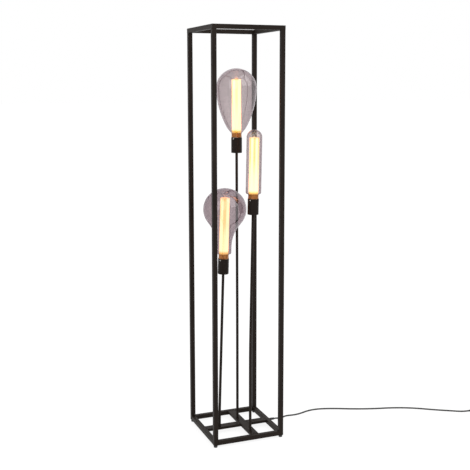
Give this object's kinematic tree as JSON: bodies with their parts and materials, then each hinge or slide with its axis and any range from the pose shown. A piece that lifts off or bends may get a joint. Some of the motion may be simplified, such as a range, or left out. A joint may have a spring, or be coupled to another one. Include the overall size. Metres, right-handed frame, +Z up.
{
  "type": "floor lamp",
  "caption": "Tall open cage floor lamp of square black tube with smoked glass bulbs on slim arms at three heights.",
  "frame": {"origin": "on the floor, under the middle of the cage", "axes": "+X along the cage's front to the side where the cord leaves, +Y to the back, +Z up"},
  "size_m": [1.2582, 0.3613, 1.5],
  "materials": {
    "black_powder_coat": "fine matt powder coat",
    "glide_plastic": "moulded",
    "holder_plastic": "moulded thermoset",
    "plated_thread": "nickel plated sheet",
    "bright_metal": "nickel plated",
    "insulator": "black glass insulator with a tinned tip",
    "copper_collar": "polished copper tone",
    "circuit_board": "white solder mask",
    "glowing_guide": "clear acrylic with engraved lines, lit",
    "smoked_glass": "smoked grey glass",
    "cord_jacket": "smooth black jacket",
    "moulded_plug": "moulded black",
    "switch_plastic": "fine grained black",
    "button_plastic": "smooth black"
  },
  "bodies": {
    "frame": {"foot_glides": "glide_plastic", "arm_locknuts": "bright_metal", "centre_contacts": "bright_metal", "lamp_wires": "cord_jacket", "wire_splice": "moulded_plug", "cord_tail": "cord_jacket", "cord_gland": "moulded_plug", "mains_cord": "cord_jacket", "foot_switch_base": "switch_plastic", "foot_switch_cover": "switch_plastic", "switch_lead": "cord_jacket", "cord_coil": "cord_jacket", "plug_body": "moulded_plug", "plug_pins": "bright_metal", "cross_bar_long": "black_powder_coat", "cross_bar_left": "black_powder_coat", "cross_bar_right": "black_powder_coat", "top_rail_front": "black_powder_coat", "bottom_rail_front": "black_powder_coat", "top_rail_right": "black_powder_coat", "bottom_rail_right": "black_powder_coat", "top_rail_back": "black_powder_coat", "bottom_rail_back": "black_powder_coat", "top_rail_left": "black_powder_coat", "bottom_rail_left": "black_powder_coat", "post_front_left": "black_powder_coat", "post_front_right": "black_powder_coat", "post_back_left": "black_powder_coat", "post_back_right": "black_powder_coat", "arm_high": "black_powder_coat", "socket_cup_high": "black_powder_coat", "lampholder_high": "holder_plastic", "screw_shell_high": "plated_thread", "arm_middle": "black_powder_coat", "socket_cup_middle": "black_powder_coat", "lampholder_middle": "holder_plastic", "screw_shell_middle": "plated_thread", "arm_low": "black_powder_coat", "socket_cup_low": "black_powder_coat", "lampholder_low": "holder_plastic", "screw_shell_low": "plated_thread"},
    "bulb_high_tip": {"cap_end_high": "insulator"},
    "bulb_high": {"bulb_glass_high": "smoked_glass", "light_guide_high": "glowing_guide", "led_module_high": "circuit_board", "bulb_collar_high": "copper_collar", "screw_cap_high": "plated_thread"},
    "bulb_middle_tip": {"cap_end_middle": "insulator"},
    "bulb_middle": {"bulb_glass_middle": "smoked_glass", "light_guide_middle": "glowing_guide", "led_module_middle": "circuit_board", "bulb_collar_middle": "copper_collar", "screw_cap_middle": "plated_thread"},
    "bulb_low_tip": {"cap_end_low": "insulator"},
    "bulb_low": {"bulb_glass_low": "smoked_glass", "light_guide_low": "glowing_guide", "led_module_low": "circuit_board", "bulb_collar_low": "copper_collar", "screw_cap_low": "plated_thread"},
    "switch_button": {"foot_switch_button": "button_plastic"}
  },
  "joints": [
    {"name": "bulb_high_lift", "type": "slide", "parent": "frame", "child": "bulb_high_tip", "axis": [-0.0025, 0.0009, 1], "range_m": [0, 0.01815]},
    {"name": "bulb_high_turn", "type": "hinge", "parent": "bulb_high_tip", "child": "bulb_high", "pos_m": [0.01997, 0.03756, 1.047], "axis": [-0.0025, 0.0009, 1], "range_deg": [0, 1800]},
    {"name": "bulb_middle_lift", "type": "slide", "parent": "frame", "child": "bulb_middle_tip", "axis": [0.0175, -0.0064, 0.9998], "range_m": [0, 0.01815]},
    {"name": "bulb_middle_turn", "type": "hinge", "parent": "bulb_middle_tip", "child": "bulb_middle", "pos_m": [0.03038, -0.09523, 0.835], "axis": [0.0175, -0.0064, 0.9998], "range_deg": [0, 1800]},
    {"name": "bulb_low_lift", "type": "slide", "parent": "frame", "child": "bulb_low_tip", "axis": [0.0271, -0.0098, 0.9996], "range_m": [0, 0.01815]},
    {"name": "bulb_low_turn", "type": "hinge", "parent": "bulb_low_tip", "child": "bulb_low", "pos_m": [-0.05452, -0.01527, 0.609], "axis": [0.0271, -0.0098, 0.9996], "range_deg": [0, 1800]},
    {"name": "foot_button_press", "type": "slide", "parent": "frame", "child": "switch_button", "axis": [0, 0, -1], "range_m": [0, 0.003], "stiffness_N_per_m": 800, "springref_m": -0.001}
  ],
  "couplings": [
    {"joint": "bulb_high_lift", "follows": "bulb_high_turn", "m_per_rad": 0.00057757},
    {"joint": "bulb_middle_lift", "follows": "bulb_middle_turn", "m_per_rad": 0.00057757},
    {"joint": "bulb_low_lift", "follows": "bulb_low_turn", "m_per_rad": 0.00057757}
  ]
}
